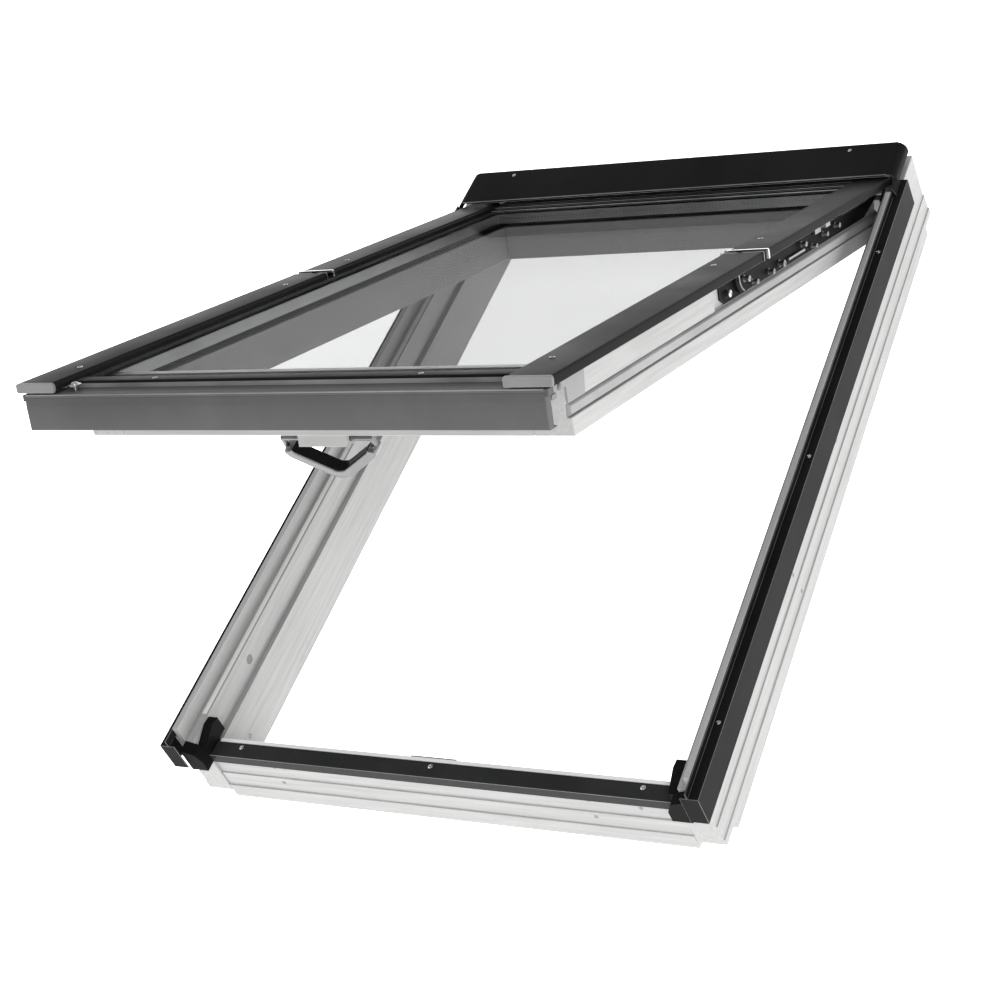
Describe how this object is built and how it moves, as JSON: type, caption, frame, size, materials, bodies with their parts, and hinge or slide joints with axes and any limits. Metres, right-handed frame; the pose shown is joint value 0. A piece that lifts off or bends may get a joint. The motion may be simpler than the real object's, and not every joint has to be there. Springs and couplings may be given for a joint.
{
  "type": "roof window",
  "caption": "Pitched-roof window: timber frame and sash with dark metal covers, hung from the top on lifting arms and turning about a centre pivot, standing open.",
  "frame": {"origin": "middle of the sill's room-side face, at the frame's lower edge", "axes": "+X across the window, +Y up the roof slope from the sill to the head, +Z outwards from the room; the rest pose has the sash standing open"},
  "size_m": [0.792, 1.2035, 0.7018],
  "materials": {
    "white_timber": "white satin lacquer over fine grain",
    "dark_cover": "anthracite satin powder coat",
    "grey_cover": "grey-brown satin powder coat",
    "black_plastic": "matt black moulding",
    "grey_gasket": "matt grey seal",
    "black_gasket": "matt black seal",
    "zinc_steel": "zinc plated",
    "bright_steel": "bright plated",
    "black_steel": "black enamel",
    "grey_plastic": "matt mid grey",
    "clear_glass": "clear float glass",
    "spacer_metal": "perforated mill finish",
    "white_plastic": "white, slightly glossy",
    "handle_metal": "satin silver"
  },
  "bodies": {
    "frame": {"frame_left_jamb": "white_timber", "frame_right_jamb": "white_timber", "frame_head_rail": "white_timber", "frame_sill_rail": "white_timber", "left_jamb_cover": "dark_cover", "right_jamb_cover": "dark_cover", "sill_cover": "grey_cover", "head_cover": "dark_cover", "left_corner_block": "black_plastic", "right_corner_block": "black_plastic", "frame_gasket": "grey_gasket", "left_hinge_bracket": "zinc_steel", "right_hinge_bracket": "zinc_steel", "hinge_pins": "bright_steel", "latch_keeper": "zinc_steel", "frame_plugs": "grey_plastic", "frame_cover_screws": "bright_steel"},
    "lift_arms": {"left_lifting_arm": "black_steel", "right_lifting_arm": "black_steel", "left_upper_cover": "dark_cover", "right_upper_cover": "dark_cover", "cover_edge_clips": "bright_steel", "arm_studs": "bright_steel", "lift_springs": "black_steel", "arm_links": "zinc_steel", "upper_cover_screws": "bright_steel"},
    "sash": {"sash_left_stile": "white_timber", "sash_right_stile": "white_timber", "sash_top_rail": "white_timber", "sash_bottom_rail": "white_timber", "outer_pane": "clear_glass", "inner_pane": "clear_glass", "spacer_bar": "spacer_metal", "glazing_gasket": "black_gasket", "left_lower_cover": "dark_cover", "right_lower_cover": "dark_cover", "bottom_cladding": "grey_cover", "bottom_glass_cover": "dark_cover", "top_glass_cover": "dark_cover", "left_end_block": "grey_plastic", "right_end_block": "grey_plastic", "left_pivot_plate": "black_steel", "right_pivot_plate": "black_steel", "joint_seals": "black_plastic", "sash_gasket": "grey_gasket", "lock_case": "white_plastic", "sash_cover_screws": "bright_steel", "clip_screw": "bright_steel", "left_end_cap": "grey_plastic", "right_end_cap": "grey_plastic"},
    "handle": {"handle_lever": "handle_metal"}
  },
  "joints": [
    {"name": "top_hung", "type": "hinge", "parent": "frame", "child": "lift_arms", "pos_m": [0, 1.116, 0.118], "axis": [1, 0, 0], "range_deg": [-6, 29]},
    {"name": "centre_pivot", "type": "hinge", "parent": "lift_arms", "child": "sash", "pos_m": [0, 0.64543, 0.39942], "axis": [-1, 0, 0], "range_deg": [0, 150]},
    {"name": "handle_turn", "type": "hinge", "parent": "sash", "child": "handle", "pos_m": [0, 0.15099, 0.56144], "axis": [1, 0, 0], "range_deg": [-25, 30]}
  ]
}
